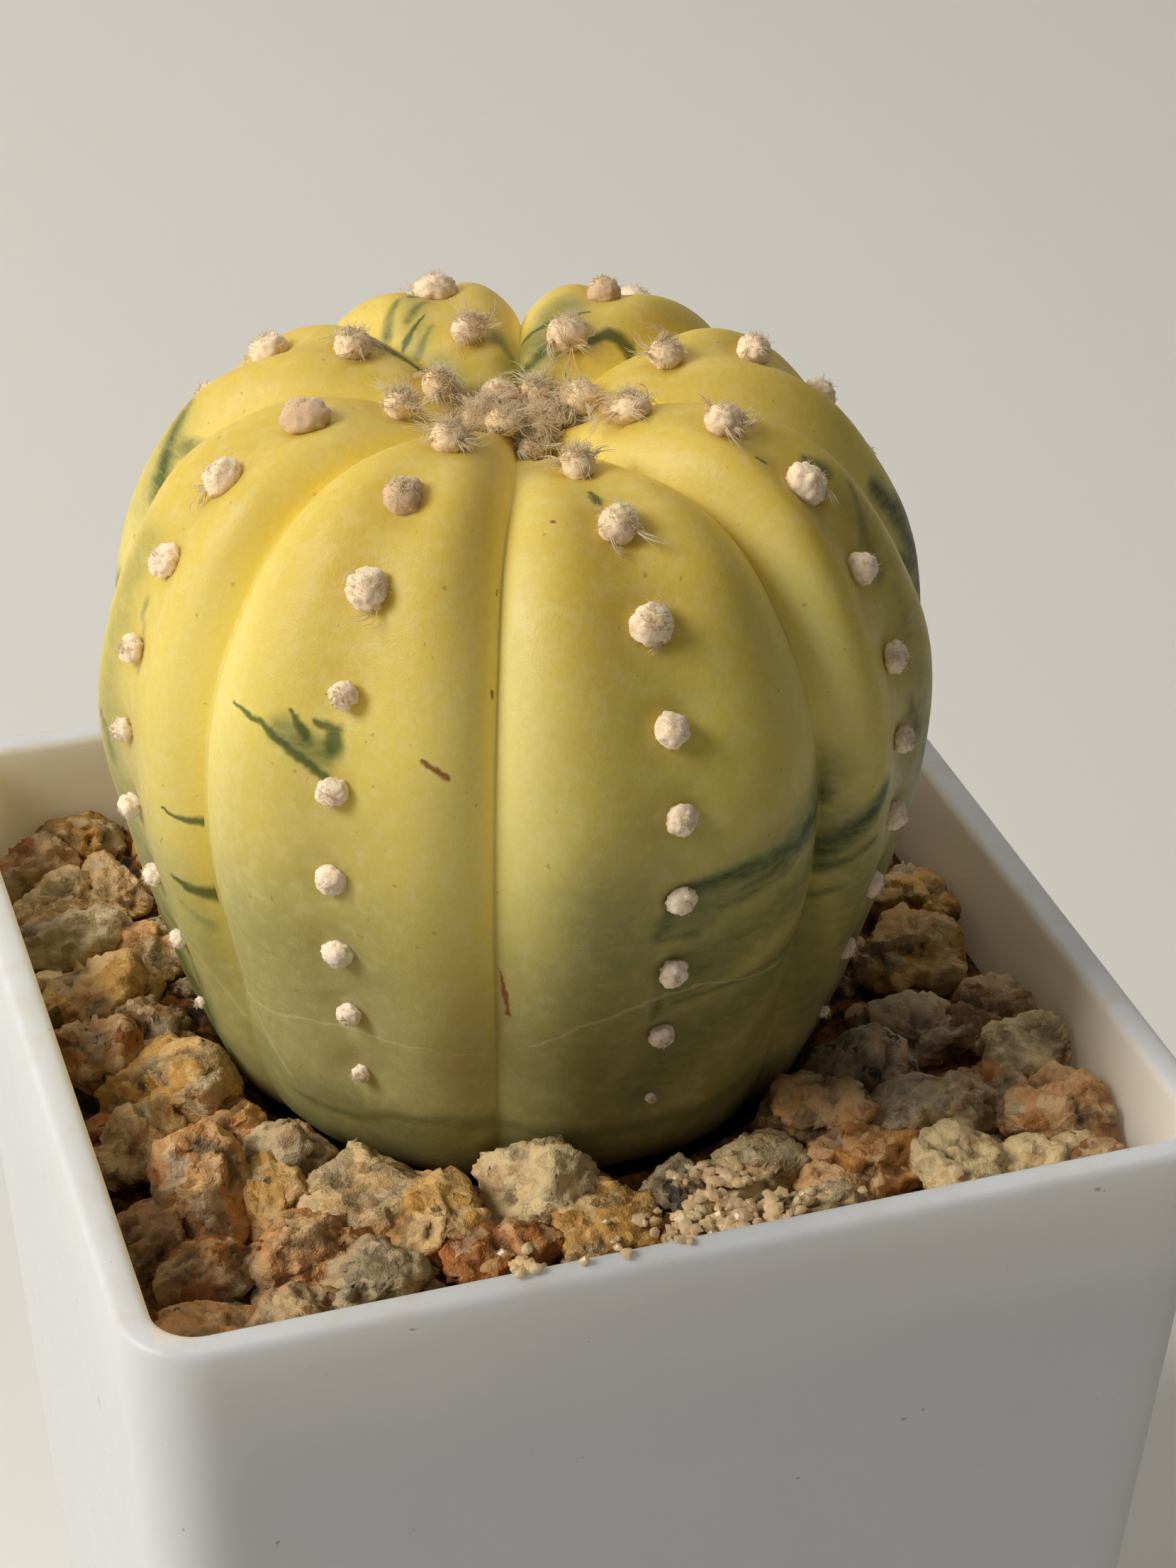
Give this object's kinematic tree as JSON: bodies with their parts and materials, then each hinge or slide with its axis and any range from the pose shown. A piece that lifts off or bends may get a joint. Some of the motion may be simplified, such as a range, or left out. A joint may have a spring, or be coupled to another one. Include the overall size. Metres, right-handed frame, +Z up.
{
  "type": "potted variegated star cactus",
  "caption": "Ribbed round star cactus with woolly areoles, growing in a square plastic nursery pot filled with soil and topped with angular grit.",
  "frame": {"origin": "middle of the pot's underside, on the plane it stands on", "axes": "+Z up, +X to the right along the pot's front face, -Y out of the front face towards the viewer"},
  "size_m": [0.07, 0.07, 0.12],
  "materials": {
    "pot_plastic": "white injection-moulded plastic, slightly satin",
    "potting_mix": "dark loose potting mix, matte",
    "granite_grit": "crushed granite grit in tan, rust and grey, dull broken faces",
    "cactus_skin": "waxy satin skin, warm yellow with green variegation, cream wool on the areoles"
  },
  "bodies": {
    "root": {"pot": "pot_plastic", "soil": "potting_mix", "gravel": "granite_grit", "cactus": "cactus_skin"}
  },
  "joints": []
}
